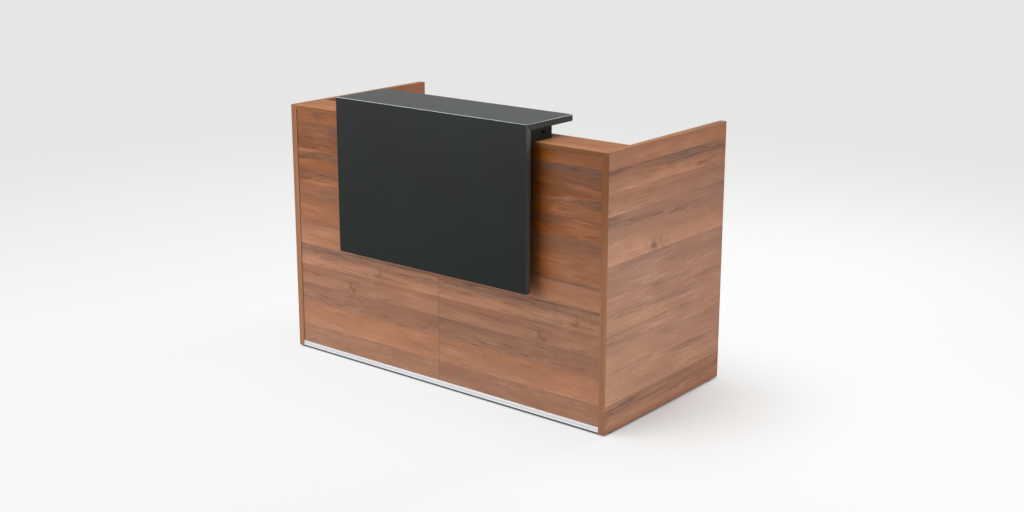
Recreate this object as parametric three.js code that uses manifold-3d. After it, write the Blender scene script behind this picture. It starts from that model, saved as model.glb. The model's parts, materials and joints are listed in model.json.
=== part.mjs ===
// A free-standing reception desk with a planked front wall and a dark counter, in millimetres.
// +X is the visitor's right, +Y points to the staff side and +Z is up. The origin lies on the
// floor, under the middle of the whole desk.
import * as THREE from "three";
import { mergeVertices } from "three/addons/utils/BufferGeometryUtils.js";
import Module from "manifold-3d";

// Body
const DESK_WIDTH = 1600;
const SIDE_DEPTH = 790;
const SIDE_HEIGHT = 1045;
const FLOOR_GAP = 5;

// Boards
const SIDE_BOARD = 28;
const FRONT_BOARD = 18;
const INNER_BOARD = 18;
const UPRIGHT_BOARD = 28;
const CAP_BOARD = 18;
const WORKTOP_BOARD = 28;
const DECOR_BOARD = 25;
const SHELF_BOARD = 25;
const FRAME_BOARD = 18;
const EDGE_BAND = 2;

// Clearances: between pieces that touch, under a glued band, at a seam that shows
const JOINT_GAP = 0.3;
const GLUE_LINE = 0.2;
const SEAM_GAP = 0.8;

// Front wall
const FRONT_RECESS = 4;
const SEAM_HEIGHT = 452;
const CAP_DEPTH = 168;
const LINER_SETBACK = 2;
const LINER_LIFT = 20;

// Plinth strip and its clips
const PLINTH_LIFT = 4.2;
const PLINTH_HEIGHT = 20.5;
const PLINTH_WALL = 1.5;
const CLIP_LEG = 14;
const CLIP_WIDTH = 18;
const CLIP_STEEL = 2;

// Worktop and what carries it
const WORKTOP_HEIGHT = 740;
const WORKTOP_SETBACK = 25;
const CLEAT_LEG = 30;
const CLEAT_STEEL = 3;
const CLEAT_LENGTH = 420;
const TUBE_WIDTH = 40;
const TUBE_HEIGHT = 20;
const TUBE_WALL = 2;
const TUBE_SETBACK = 130;
const TUBE_END_GAP = 6;

// Cable grommets
const GROMMET_SPREAD = 450;
const GROMMET_SETBACK = 85;
const GROMMET_HOLE = 80;
const GROMMET_WALL = 3;
const GROMMET_DEPTH = 20;
const GROMMET_FLANGE = 8;
const GROMMET_RIM = 3;
const GROMMET_RIM_CHAMFER = 1;
const GROMMET_LEDGE = 4;
const GROMMET_LEDGE_THICKNESS = 2;
const LID_CLEARANCE = 0.5;
const NOTCH_WIDTH = 22;
const NOTCH_DEPTH = 18;

// Counter: decor panel, shelf, the frame under the shelf
const COUNTER_WIDTH = 960;
const DECOR_REACH = 54;
const DECOR_HEIGHT = 630.5;
const SHELF_DEPTH = 277;
const SHELF_GAP = 45;
const FRAME_DEPTH = 125;
const FRAME_INSET = 1;
const SLOT_LENGTH = 20;
const SLOT_HEIGHT = 7;
const SLOT_DEPTH = 12;
const SLOT_BACK = 76;
const SLOT_DROP = 15;

// Stand-offs and bolts behind the decor panel
const STANDOFF_SPREAD = 380;
const STANDOFF_LOW = 60;
const STANDOFF_HIGH = 400;
const STANDOFF_DIAMETER = 22;
const BOLT_DIAMETER = 6;
const BOLT_BITE = 12;
const BOLT_HEAD_DIAMETER = 11;
const BOLT_HEAD_HEIGHT = 4;
const BOLT_CLEARANCE = 0.4;

// Shelf braces and knee brackets
const BRACE_SPREAD = 250;
const BRACE_LEG = 30;
const BRACE_WIDTH = 40;
const BRACKET_LEG = 40;
const BRACKET_HEIGHT = 60;
const BRACKET_LEVEL = 420;
const BRACKET_STEEL = 2.5;

// Levellers
const FOOT_INSET_FRONT = 45;
const FOOT_INSET_REAR = 58;
const PAD_DIAMETER = 25;
const PAD_CHAMFER = 1.2;
const PAD_CLEARANCE = 0.4;
const PAD_SOLE = 1.6;
const STUD_DIAMETER = 8;
const STUD_LENGTH = 36;
const STUD_FOOT_DIAMETER = 10;
const STUD_FOOT_HEIGHT = 2;
const STUD_TIP_CHAMFER = 1;
const STUD_CLEARANCE = 0.4;
const SLEEVE_WALL = 2;
const SLEEVE_LENGTH = 30;
const SLEEVE_FLANGE = 3;
const SLEEVE_FLANGE_HEIGHT = 1.5;
const BORE_SPARE = 6;

// Sides of a round piece
const SMALL_ROUND = 12;
const PAD_ROUND = 20;
const GROMMET_ROUND = 32;
const ARC_STEPS = 24;

// How far a cutter runs past the face it cuts, and how near two points count as one
const OVERCUT = 1;
const SAME_POINT = 1e-3;

// Planes across the desk
const outerX = DESK_WIDTH / 2;
const innerX = outerX - SIDE_BOARD;
const bayX = innerX - JOINT_GAP;

// Planes from front to back
const frontEdge = -(SIDE_DEPTH - DECOR_REACH) / 2;
const backEdge = frontEdge + SIDE_DEPTH;
const panelFace = frontEdge + FRONT_RECESS;
const panelBack = panelFace + FRONT_BOARD;
const capBack = frontEdge + CAP_DEPTH;
const linerBack = capBack - LINER_SETBACK;
const linerFace = linerBack - INNER_BOARD;
const worktopBack = backEdge - WORKTOP_SETBACK;
const decorFace = frontEdge - DECOR_REACH;
const decorBack = decorFace + DECOR_BOARD;
const shelfBack = decorFace + SHELF_DEPTH;
const frameFront = decorBack + JOINT_GAP;
const frameBack = frameFront + FRAME_DEPTH;

// Levels above the floor
const sideTop = FLOOR_GAP + SIDE_HEIGHT;
const capBottom = sideTop - CAP_BOARD;
const plinthBottom = FLOOR_GAP + PLINTH_LIFT;
const plinthTop = plinthBottom + PLINTH_HEIGHT;
const seamLevel = FLOOR_GAP + SEAM_HEIGHT;
const worktopBottom = WORKTOP_HEIGHT - WORKTOP_BOARD;
const shelfBottom = sideTop + SHELF_GAP;
const shelfTop = shelfBottom + SHELF_BOARD;
const decorBottom = shelfTop - DECOR_HEIGHT;

const LEFT = { name: "left", sign: -1 };
const RIGHT = { name: "right", sign: 1 };
const BOTH_SIDES = [LEFT, RIGHT];

const WALNUT = { color: 0x9c6d50, roughness: 0.5, metalness: 0 };
const WALNUT_BAND = { color: 0x8e5f41, roughness: 0.45, metalness: 0 };
const ANTHRACITE = { color: 0x2e3331, roughness: 0.55, metalness: 0 };
const ALUMINIUM = { color: 0xd9dade, roughness: 0.3, metalness: 1 };
const STEEL = { color: 0x8d9093, roughness: 0.4, metalness: 1 };
const BLACK_PLASTIC = { color: 0x1d1e1f, roughness: 0.6, metalness: 0 };

const wasm = await Module();
wasm.setup();

const desk = new THREE.Group();

// Adds one named piece with a material of its own.
function piece(name, geometry, finish, position = new THREE.Vector3()) {
  const mesh = new THREE.Mesh(geometry, new THREE.MeshStandardMaterial(finish));
  mesh.name = name;
  mesh.position.copy(position);
  desk.add(mesh);
  return mesh;
}

// The closed solid that a geometry encloses.
function solidOf(geometry) {
  const loose = geometry.index ? geometry.toNonIndexed() : geometry.clone();
  loose.deleteAttribute("normal");
  loose.deleteAttribute("uv");
  const merged = mergeVertices(loose, SAME_POINT);
  const triVerts = new Uint32Array(merged.index.array);
  const vertProperties = merged.attributes.position.array;
  return new wasm.Manifold(new wasm.Mesh({ numProp: 3, vertProperties, triVerts }));
}

// A geometry with other geometries cut out of it.
function cutAway(geometry, cutters) {
  let solid = solidOf(geometry);
  for (const cutter of cutters) {
    solid = solid.subtract(solidOf(cutter));
  }
  const mesh = solid.getMesh();
  const result = new THREE.BufferGeometry();
  result.setAttribute("position", new THREE.BufferAttribute(mesh.vertProperties, 3));
  result.setIndex(new THREE.BufferAttribute(mesh.triVerts, 1));
  result.computeVertexNormals();
  return result;
}

// A flat board between two planes each way. Cutters are given in the desk's frame.
function board(name, finish, xs, ys, zs, cutters = []) {
  const low = new THREE.Vector3(Math.min(...xs), Math.min(...ys), Math.min(...zs));
  const high = new THREE.Vector3(Math.max(...xs), Math.max(...ys), Math.max(...zs));
  const size = high.clone().sub(low);
  const middle = low.clone().add(high).multiplyScalar(0.5);
  let geometry = new THREE.BoxGeometry(size.x, size.y, size.z);
  if (cutters.length > 0) {
    const moved = cutters.map((cutter) => cutter.clone().translate(-middle.x, -middle.y, -middle.z));
    geometry = cutAway(geometry, moved);
  }
  return piece(name, geometry, finish, middle);
}

// A closed outline from a list of corner points.
function outline(points) {
  return new THREE.Shape(points.map(([u, v]) => new THREE.Vector2(u, v)));
}

// A section drawn in the Y-Z plane and drawn out along X, from one plane to another.
function alongX(shape, from, to) {
  const geometry = new THREE.ExtrudeGeometry(shape, { depth: to - from, bevelEnabled: false });
  const turn = new THREE.Matrix4().makeBasis(
    new THREE.Vector3(0, 1, 0),
    new THREE.Vector3(0, 0, 1),
    new THREE.Vector3(1, 0, 0),
  );
  return geometry.applyMatrix4(turn).translate(from, 0, 0);
}

// A section drawn in the X-Z plane and drawn out along Y, from one plane to another.
function alongY(shape, from, to) {
  const geometry = new THREE.ExtrudeGeometry(shape, { depth: to - from, bevelEnabled: false });
  return geometry.rotateX(Math.PI / 2).translate(0, to, 0);
}

// A section drawn in the X-Y plane and drawn out along Z, from one level to another.
function alongZ(shape, from, to) {
  const options = { depth: to - from, bevelEnabled: false, curveSegments: ARC_STEPS };
  return new THREE.ExtrudeGeometry(shape, options).translate(0, 0, from);
}

// A body of revolution about the Z axis, from a profile of radius and height.
function turned(profile, sides) {
  const points = profile.map(([radius, height]) => new THREE.Vector2(radius, height));
  return new THREE.LatheGeometry(points, sides).rotateX(Math.PI / 2);
}

// A round bar about a Z axis through x and y.
function roundBarAlongZ(radius, from, to, x, y) {
  const bar = new THREE.CylinderGeometry(radius, radius, to - from, GROMMET_ROUND);
  return bar.rotateX(Math.PI / 2).translate(x, y, (from + to) / 2);
}

// A round bar about a Y axis through x and z.
function roundBarAlongY(radius, from, to, x, z) {
  const bar = new THREE.CylinderGeometry(radius, radius, to - from, SMALL_ROUND);
  return bar.translate(x, (from + to) / 2, z);
}

// Leveller sizes that its three pieces and the bore above them share
const padTop = FLOOR_GAP - PAD_CLEARANCE;
const studFootRadius = STUD_FOOT_DIAMETER / 2;
const studRadius = STUD_DIAMETER / 2;
const studBottom = PAD_SOLE + STUD_CLEARANCE;
const studTop = studBottom + STUD_LENGTH;
const sleeveInner = studRadius + STUD_CLEARANCE;
const sleeveOuter = sleeveInner + SLEEVE_WALL;
const sleeveFlange = sleeveOuter + SLEEVE_FLANGE;
const sleeveTop = FLOOR_GAP + SLEEVE_LENGTH;
const boreTop = Math.max(sleeveTop, studTop) + BORE_SPARE;

// The stepped hole in a board's bottom edge that takes a leveller's sleeve.
function levellerBore(x, y) {
  const below = FLOOR_GAP - OVERCUT;
  const counterbore = FLOOR_GAP + SLEEVE_FLANGE_HEIGHT + JOINT_GAP;
  const profile = [
    [0, below],
    [sleeveFlange + JOINT_GAP, below],
    [sleeveFlange + JOINT_GAP, counterbore],
    [sleeveOuter + JOINT_GAP, counterbore],
    [sleeveOuter + JOINT_GAP, boreTop],
    [0, boreTop],
  ];
  return turned(profile, SMALL_ROUND).translate(x, y, 0);
}

// The round pad that stands on the floor, with a socket for the stud's foot.
function levellerPad(name, place) {
  const radius = PAD_DIAMETER / 2;
  const socket = studFootRadius + STUD_CLEARANCE;
  const profile = [
    [0, 0],
    [radius - PAD_CHAMFER, 0],
    [radius, PAD_CHAMFER],
    [radius, padTop - PAD_CHAMFER],
    [radius - PAD_CHAMFER, padTop],
    [socket, padTop],
    [socket, PAD_SOLE],
    [0, PAD_SOLE],
  ];
  piece("leveller_pad_" + name, turned(profile, PAD_ROUND), BLACK_PLASTIC, place);
}

// The threaded stud: a foot that turns in the pad, and a shank that climbs in the sleeve.
function levellerStud(name, place) {
  const profile = [
    [0, studBottom],
    [studFootRadius, studBottom],
    [studFootRadius, studBottom + STUD_FOOT_HEIGHT],
    [studRadius, studBottom + STUD_FOOT_HEIGHT],
    [studRadius, studTop - STUD_TIP_CHAMFER],
    [studRadius - STUD_TIP_CHAMFER, studTop],
    [0, studTop],
  ];
  piece("leveller_stud_" + name, turned(profile, SMALL_ROUND), STEEL, place);
}

// The flanged steel sleeve pressed into the board's bottom edge.
function levellerSleeve(name, place) {
  const flangeTop = FLOOR_GAP + SLEEVE_FLANGE_HEIGHT;
  const profile = [
    [sleeveInner, FLOOR_GAP],
    [sleeveFlange, FLOOR_GAP],
    [sleeveFlange, flangeTop],
    [sleeveOuter, flangeTop],
    [sleeveOuter, sleeveTop],
    [sleeveInner, sleeveTop],
    [sleeveInner, FLOOR_GAP],
  ];
  piece("leveller_sleeve_" + name, turned(profile, SMALL_ROUND), STEEL, place);
}

// One complete leveller under a board.
function leveller(name, x, y) {
  const place = new THREE.Vector3(x, y, 0);
  levellerPad(name, place);
  levellerStud(name, place);
  levellerSleeve(name, place);
}

// Where the levellers stand under a side panel and under the centre upright.
const sideFootX = outerX - SIDE_BOARD / 2;
const frontFootY = frontEdge + FOOT_INSET_FRONT;
const rearFootY = backEdge - FOOT_INSET_REAR;
const middleFootY = (panelBack + linerFace) / 2;

// A side panel: a core board bored for two levellers, and a band over its three seen edges.
function sidePanel({ name, sign }) {
  const inset = EDGE_BAND + GLUE_LINE;
  const footX = sign * sideFootX;
  const bores = [levellerBore(footX, frontFootY), levellerBore(footX, rearFootY)];
  const faces = [sign * innerX, sign * outerX];
  const depth = [frontEdge + inset, backEdge - inset];
  board("side_panel_" + name, WALNUT, faces, depth, [FLOOR_GAP, sideTop - inset], bores);

  const band = outline([
    [frontEdge, FLOOR_GAP],
    [frontEdge + EDGE_BAND, FLOOR_GAP],
    [frontEdge + EDGE_BAND, sideTop - EDGE_BAND],
    [backEdge - EDGE_BAND, sideTop - EDGE_BAND],
    [backEdge - EDGE_BAND, FLOOR_GAP],
    [backEdge, FLOOR_GAP],
    [backEdge, sideTop],
    [frontEdge, sideTop],
  ]);
  const bandGeometry = alongX(band, Math.min(...faces), Math.max(...faces));
  piece("side_edge_band_" + name, bandGeometry, WALNUT_BAND);

  leveller("front_" + name, footX, frontFootY);
  leveller("rear_" + name, footX, rearFootY);
}

// The board that closes the top of the front wall, banded along its two long edges.
function wallCap() {
  const across = [-bayX, bayX];
  const levels = [capBottom, sideTop];
  const inset = EDGE_BAND + GLUE_LINE;
  board("wall_cap", WALNUT, across, [frontEdge + inset, capBack - inset], levels);
  board("wall_cap_front_band", WALNUT_BAND, across, [frontEdge, frontEdge + EDGE_BAND], levels);
  board("wall_cap_rear_band", WALNUT_BAND, across, [capBack - EDGE_BAND, capBack], levels);
}

// Where the bolts pass, as heights above the decor panel's lower edge.
const boltRows = [
  { name: "low", level: decorBottom + STANDOFF_LOW },
  { name: "high", level: decorBottom + STANDOFF_HIGH },
];

// The upper and lower front panel of one half of the wall.
function frontPanels({ name, sign }) {
  const across = [sign * bayX, (sign * SEAM_GAP) / 2];
  const depth = [panelFace, panelBack];
  const boltX = sign * STANDOFF_SPREAD;
  const holeRadius = BOLT_DIAMETER / 2 + BOLT_CLEARANCE;
  const holes = boltRows.map((row) =>
    roundBarAlongY(holeRadius, panelFace - OVERCUT, panelBack + OVERCUT, boltX, row.level),
  );
  const upper = [seamLevel + SEAM_GAP / 2, capBottom - JOINT_GAP];
  const lower = [plinthTop + JOINT_GAP, seamLevel - SEAM_GAP / 2];
  board("upper_front_panel_" + name, WALNUT, across, depth, upper, holes);
  board("lower_front_panel_" + name, WALNUT, across, depth, lower);
}

// The upright behind the middle seam, on a leveller of its own.
function centreUpright() {
  const across = [-UPRIGHT_BOARD / 2, UPRIGHT_BOARD / 2];
  const depth = [panelBack + JOINT_GAP, linerFace - JOINT_GAP];
  const levels = [FLOOR_GAP, capBottom - JOINT_GAP];
  board("centre_upright", WALNUT, across, depth, levels, [levellerBore(0, middleFootY)]);
  leveller("centre", 0, middleFootY);
}

// The two boards that close the wall on the staff side, below and above the worktop.
function innerPanels() {
  const across = [-bayX, bayX];
  const depth = [linerFace, linerBack];
  board("inner_panel_lower", WALNUT, across, depth, [LINER_LIFT, worktopBottom - JOINT_GAP]);
  board("inner_panel_upper", WALNUT, across, depth, [WORKTOP_HEIGHT + JOINT_GAP, capBottom - JOINT_GAP]);
}

const grommetY = linerBack + GROMMET_SETBACK;
const grommetHoleRadius = GROMMET_HOLE / 2;

// The worktop, cut for two cable grommets and banded along its staff edge.
function worktop() {
  const across = [-bayX, bayX];
  const levels = [worktopBottom, WORKTOP_HEIGHT];
  const boardBack = worktopBack - EDGE_BAND - GLUE_LINE;
  const holeBottom = worktopBottom - OVERCUT;
  const holeTop = WORKTOP_HEIGHT + OVERCUT;
  const holes = BOTH_SIDES.map(({ sign }) =>
    roundBarAlongZ(grommetHoleRadius, holeBottom, holeTop, sign * GROMMET_SPREAD, grommetY),
  );
  board("worktop", WALNUT, across, [linerFace, boardBack], levels, holes);
  board("worktop_rear_band", WALNUT_BAND, across, [worktopBack - EDGE_BAND, worktopBack], levels);
}

// A steel angle on a side panel that carries the end of the worktop.
function worktopCleat({ name, sign }) {
  const top = worktopBottom - JOINT_GAP;
  const wall = sign * (bayX - JOINT_GAP);
  const inward = -sign;
  const section = outline([
    [wall, top],
    [wall, top - CLEAT_LEG],
    [wall + inward * CLEAT_STEEL, top - CLEAT_LEG],
    [wall + inward * CLEAT_STEEL, top - CLEAT_STEEL],
    [wall + inward * CLEAT_LEG, top - CLEAT_STEEL],
    [wall + inward * CLEAT_LEG, top],
  ]);
  const middle = (linerBack + worktopBack) / 2;
  const geometry = alongY(section, middle - CLEAT_LENGTH / 2, middle + CLEAT_LENGTH / 2);
  piece("worktop_cleat_" + name, geometry, STEEL);
}

// The steel tube under the worktop's free edge, open at both ends.
function worktopStiffener() {
  const top = worktopBottom - JOINT_GAP;
  const back = worktopBack - TUBE_SETBACK;
  const tube = outline([
    [back - TUBE_WIDTH, top - TUBE_HEIGHT],
    [back, top - TUBE_HEIGHT],
    [back, top],
    [back - TUBE_WIDTH, top],
  ]);
  const hollow = [
    new THREE.Vector2(back - TUBE_WIDTH + TUBE_WALL, top - TUBE_HEIGHT + TUBE_WALL),
    new THREE.Vector2(back - TUBE_WALL, top - TUBE_HEIGHT + TUBE_WALL),
    new THREE.Vector2(back - TUBE_WALL, top - TUBE_WALL),
    new THREE.Vector2(back - TUBE_WIDTH + TUBE_WALL, top - TUBE_WALL),
  ];
  tube.holes.push(new THREE.Path(hollow));
  const reach = bayX - CLEAT_LEG - TUBE_END_GAP;
  piece("worktop_stiffener", alongX(tube, -reach, reach), STEEL);
}

// The ring of a cable grommet: a flange on the worktop, a sleeve in its hole, a ledge for the lid.
const ringOuter = grommetHoleRadius - LID_CLEARANCE;
const ringInner = ringOuter - GROMMET_WALL;
const ledgeInner = ringInner - GROMMET_LEDGE;
const rimBottom = WORKTOP_HEIGHT + JOINT_GAP;
const rimTop = rimBottom + GROMMET_RIM;

function grommetRing({ name, sign }) {
  const flange = grommetHoleRadius + GROMMET_FLANGE;
  const bottom = WORKTOP_HEIGHT - GROMMET_DEPTH;
  const profile = [
    [ringInner, bottom],
    [ringOuter, bottom],
    [ringOuter, rimBottom],
    [flange, rimBottom],
    [flange, rimTop - GROMMET_RIM_CHAMFER],
    [flange - GROMMET_RIM_CHAMFER, rimTop],
    [ringInner, rimTop],
    [ringInner, rimBottom],
    [ledgeInner, rimBottom],
    [ledgeInner, rimBottom - GROMMET_LEDGE_THICKNESS],
    [ringInner, rimBottom - GROMMET_LEDGE_THICKNESS],
    [ringInner, bottom],
  ];
  const place = new THREE.Vector3(sign * GROMMET_SPREAD, grommetY, 0);
  piece("grommet_ring_" + name, turned(profile, GROMMET_ROUND), BLACK_PLASTIC, place);
}

// The lid that turns in the ring, with a round-ended cable notch in its staff edge.
function grommetLid({ name, sign }) {
  const radius = ringInner - LID_CLEARANCE;
  const half = NOTCH_WIDTH / 2;
  const mouth = Math.asin(half / radius);
  const notchEnd = radius - NOTCH_DEPTH + half;
  const shape = new THREE.Shape();
  shape.absarc(0, 0, radius, Math.PI / 2 + mouth, Math.PI * 2.5 - mouth, false);
  shape.lineTo(half, notchEnd);
  shape.absarc(0, notchEnd, half, 0, -Math.PI, true);
  shape.closePath();
  const place = new THREE.Vector3(sign * GROMMET_SPREAD, grommetY, 0);
  const geometry = alongZ(shape, rimBottom + JOINT_GAP, rimTop);
  piece("grommet_lid_" + name, geometry, BLACK_PLASTIC, place);
}

// The aluminium channel under the lower front panels, flush with the side panels' front edges.
function plinthProfile() {
  const section = outline([
    [frontEdge, plinthBottom],
    [frontEdge + PLINTH_WALL, plinthBottom],
    [frontEdge + PLINTH_WALL, plinthTop - PLINTH_WALL],
    [panelBack - PLINTH_WALL, plinthTop - PLINTH_WALL],
    [panelBack - PLINTH_WALL, plinthBottom],
    [panelBack, plinthBottom],
    [panelBack, plinthTop],
    [frontEdge, plinthTop],
  ]);
  piece("plinth_profile", alongX(section, -bayX, bayX), ALUMINIUM);
}

// A small steel angle inside the channel's end, on the side panel's inner face.
function plinthClip({ name, sign }) {
  const top = plinthTop - PLINTH_WALL - JOINT_GAP;
  const wall = sign * bayX;
  const inward = -sign;
  const section = outline([
    [wall, top],
    [wall, top - CLIP_LEG],
    [wall + inward * CLIP_STEEL, top - CLIP_LEG],
    [wall + inward * CLIP_STEEL, top - CLIP_STEEL],
    [wall + inward * CLIP_LEG, top - CLIP_STEEL],
    [wall + inward * CLIP_LEG, top],
  ]);
  const middle = (frontEdge + panelBack) / 2;
  const geometry = alongY(section, middle - CLIP_WIDTH / 2, middle + CLIP_WIDTH / 2);
  piece("plinth_clip_" + name, geometry, STEEL);
}

// The hanging decor panel, mitred along its top edge and bored for the four bolts.
function decorPanel() {
  const section = outline([
    [decorFace, decorBottom],
    [decorBack, decorBottom],
    [decorBack, shelfBottom],
    [decorFace, shelfTop],
  ]);
  const holeRadius = BOLT_DIAMETER / 2 + BOLT_CLEARANCE;
  const holeEnd = decorBack - BOLT_BITE - BOLT_CLEARANCE;
  const holes = [];
  for (const { sign } of BOTH_SIDES) {
    for (const row of boltRows) {
      const x = sign * STANDOFF_SPREAD;
      holes.push(roundBarAlongY(holeRadius, holeEnd, decorBack + OVERCUT, x, row.level));
    }
  }
  const panel = alongX(section, -COUNTER_WIDTH / 2, COUNTER_WIDTH / 2);
  piece("decor_panel", cutAway(panel, holes), ANTHRACITE);
}

// The counter shelf, mitred along its front edge against the decor panel.
function counterShelf() {
  const section = outline([
    [decorFace + JOINT_GAP, shelfTop],
    [decorBack + JOINT_GAP, shelfBottom],
    [shelfBack, shelfBottom],
    [shelfBack, shelfTop],
  ]);
  piece("counter_shelf", alongX(section, -COUNTER_WIDTH / 2, COUNTER_WIDTH / 2), ANTHRACITE);
}

// A round-ended slot in the outer face of a frame end.
function frameSlot(outer, inner) {
  const radius = SLOT_HEIGHT / 2;
  const half = SLOT_LENGTH / 2 - radius;
  const y = frameFront + SLOT_BACK;
  const z = shelfBottom - SLOT_DROP;
  const shape = new THREE.Shape();
  shape.absarc(y + half, z, radius, -Math.PI / 2, Math.PI / 2, false);
  shape.absarc(y - half, z, radius, Math.PI / 2, Math.PI * 1.5, false);
  shape.closePath();
  return alongX(shape, Math.min(outer, inner), Math.max(outer, inner));
}

// The low frame that carries the shelf on the cap: two ends, two rails and a middle piece.
function counterFrame() {
  const levels = [sideTop + JOINT_GAP, shelfBottom - JOINT_GAP];
  const endOuter = COUNTER_WIDTH / 2 - FRAME_INSET;
  const endInner = endOuter - FRAME_BOARD;
  for (const { name, sign } of BOTH_SIDES) {
    const slot = frameSlot(sign * (endOuter + OVERCUT), sign * (endOuter - SLOT_DEPTH));
    const across = [sign * endInner, sign * endOuter];
    board("counter_frame_end_" + name, ANTHRACITE, across, [frameFront, frameBack], levels, [slot]);
  }
  const railReach = endInner - JOINT_GAP;
  const rails = [-railReach, railReach];
  const frontRail = [frameFront, frameFront + FRAME_BOARD];
  const rearRail = [frameBack - FRAME_BOARD, frameBack];
  board("counter_frame_front_rail", ANTHRACITE, rails, frontRail, levels);
  board("counter_frame_rear_rail", ANTHRACITE, rails, rearRail, levels);
  const middle = [frameFront + FRAME_BOARD + JOINT_GAP, frameBack - FRAME_BOARD - JOINT_GAP];
  board("counter_frame_middle", ANTHRACITE, [-FRAME_BOARD / 2, FRAME_BOARD / 2], middle, levels);
}

// A tubular stand-off between wall and decor panel, and the bolt that runs through it.
function standoffAndBolt(sideName, x, row) {
  const bore = BOLT_DIAMETER / 2 + BOLT_CLEARANCE;
  const outer = STANDOFF_DIAMETER / 2;
  const length = panelFace - decorBack - 2 * JOINT_GAP;
  const tube = [
    [bore, 0],
    [outer, 0],
    [outer, length],
    [bore, length],
    [bore, 0],
  ];
  const tubePlace = new THREE.Vector3(x, panelFace - JOINT_GAP, row.level);
  const tubeName = "decor_standoff_" + row.name + "_" + sideName;
  piece(tubeName, turned(tube, SMALL_ROUND), ALUMINIUM, tubePlace).rotation.x = Math.PI / 2;

  const shank = BOLT_DIAMETER / 2;
  const head = BOLT_HEAD_DIAMETER / 2;
  const reach = panelBack - decorBack + BOLT_BITE + JOINT_GAP;
  const bolt = [
    [0, -BOLT_HEAD_HEIGHT],
    [head, -BOLT_HEAD_HEIGHT],
    [head, 0],
    [shank, 0],
    [shank, reach],
    [0, reach],
  ];
  const boltPlace = new THREE.Vector3(x, panelBack + JOINT_GAP, row.level);
  const boltName = "decor_bolt_" + row.name + "_" + sideName;
  piece(boltName, turned(bolt, SMALL_ROUND), STEEL, boltPlace).rotation.x = Math.PI / 2;
}

// A steel angle in the corner between the frame's front rail and the shelf's underside.
function shelfBrace({ name, sign }) {
  const back = frameFront + FRAME_BOARD + JOINT_GAP;
  const top = shelfBottom - JOINT_GAP;
  const section = outline([
    [back, top],
    [back, top - BRACE_LEG],
    [back + BRACKET_STEEL, top - BRACE_LEG],
    [back + BRACKET_STEEL, top - BRACKET_STEEL],
    [back + BRACE_LEG, top - BRACKET_STEEL],
    [back + BRACE_LEG, top],
  ]);
  const middle = sign * BRACE_SPREAD;
  const geometry = alongX(section, middle - BRACE_WIDTH / 2, middle + BRACE_WIDTH / 2);
  piece("shelf_brace_" + name, geometry, STEEL);
}

// A steel angle in the corner between a side panel and the lower inner panel.
function kneeBracket({ name, sign }) {
  const wall = sign * bayX;
  const inward = -sign;
  const front = linerBack + JOINT_GAP;
  const section = outline([
    [wall, front],
    [wall + inward * BRACKET_LEG, front],
    [wall + inward * BRACKET_LEG, front + BRACKET_STEEL],
    [wall + inward * BRACKET_STEEL, front + BRACKET_STEEL],
    [wall + inward * BRACKET_STEEL, front + BRACKET_LEG],
    [wall, front + BRACKET_LEG],
  ]);
  const geometry = alongZ(section, BRACKET_LEVEL, BRACKET_LEVEL + BRACKET_HEIGHT);
  piece("knee_bracket_" + name, geometry, STEEL);
}

for (const side of BOTH_SIDES) {
  sidePanel(side);
  frontPanels(side);
  worktopCleat(side);
  grommetRing(side);
  grommetLid(side);
  plinthClip(side);
  shelfBrace(side);
  kneeBracket(side);
  for (const row of boltRows) {
    standoffAndBolt(side.name, side.sign * STANDOFF_SPREAD, row);
  }
}
wallCap();
centreUpright();
innerPanels();
worktop();
worktopStiffener();
plinthProfile();
decorPanel();
counterShelf();
counterFrame();

export default desk;
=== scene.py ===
# %% [markdown]
# # A reception desk in walnut and anthracite
# The desk is a cabinet maker's piece: flat boards with printed walnut faces, thin edge bands, a dark
# counter on top, and a few small fittings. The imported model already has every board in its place, so
# this lesson never moves one. It eases the boards' edges, turns the small fittings again with finer
# curves, adds the screws, and gives each surface a finish that is drawn by nodes alone.

import json
import math

import bmesh
import bpy
from mathutils import Matrix, Vector


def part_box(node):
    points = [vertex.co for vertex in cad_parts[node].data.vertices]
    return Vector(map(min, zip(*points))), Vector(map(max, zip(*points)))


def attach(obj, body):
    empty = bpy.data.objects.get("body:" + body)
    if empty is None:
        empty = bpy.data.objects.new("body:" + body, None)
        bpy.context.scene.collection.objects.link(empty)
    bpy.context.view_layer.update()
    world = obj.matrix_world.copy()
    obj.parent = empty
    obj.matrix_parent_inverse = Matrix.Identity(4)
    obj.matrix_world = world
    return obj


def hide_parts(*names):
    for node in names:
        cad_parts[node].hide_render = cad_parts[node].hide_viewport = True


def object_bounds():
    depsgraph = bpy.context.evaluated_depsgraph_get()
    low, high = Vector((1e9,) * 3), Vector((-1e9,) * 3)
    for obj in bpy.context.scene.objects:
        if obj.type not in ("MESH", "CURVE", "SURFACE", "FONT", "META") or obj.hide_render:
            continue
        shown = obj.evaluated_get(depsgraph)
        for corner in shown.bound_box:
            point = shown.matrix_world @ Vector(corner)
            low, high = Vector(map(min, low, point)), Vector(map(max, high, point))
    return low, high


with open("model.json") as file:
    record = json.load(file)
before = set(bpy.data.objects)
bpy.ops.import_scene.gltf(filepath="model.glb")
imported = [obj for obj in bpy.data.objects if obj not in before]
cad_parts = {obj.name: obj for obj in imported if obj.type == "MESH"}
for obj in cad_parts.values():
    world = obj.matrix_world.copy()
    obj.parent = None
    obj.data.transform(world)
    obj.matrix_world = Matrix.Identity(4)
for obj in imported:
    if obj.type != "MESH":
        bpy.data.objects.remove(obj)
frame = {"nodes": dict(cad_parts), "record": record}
cad_low, cad_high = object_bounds()
print("CAD box in metres:", [round(side, 4) for side in cad_high - cad_low])
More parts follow.
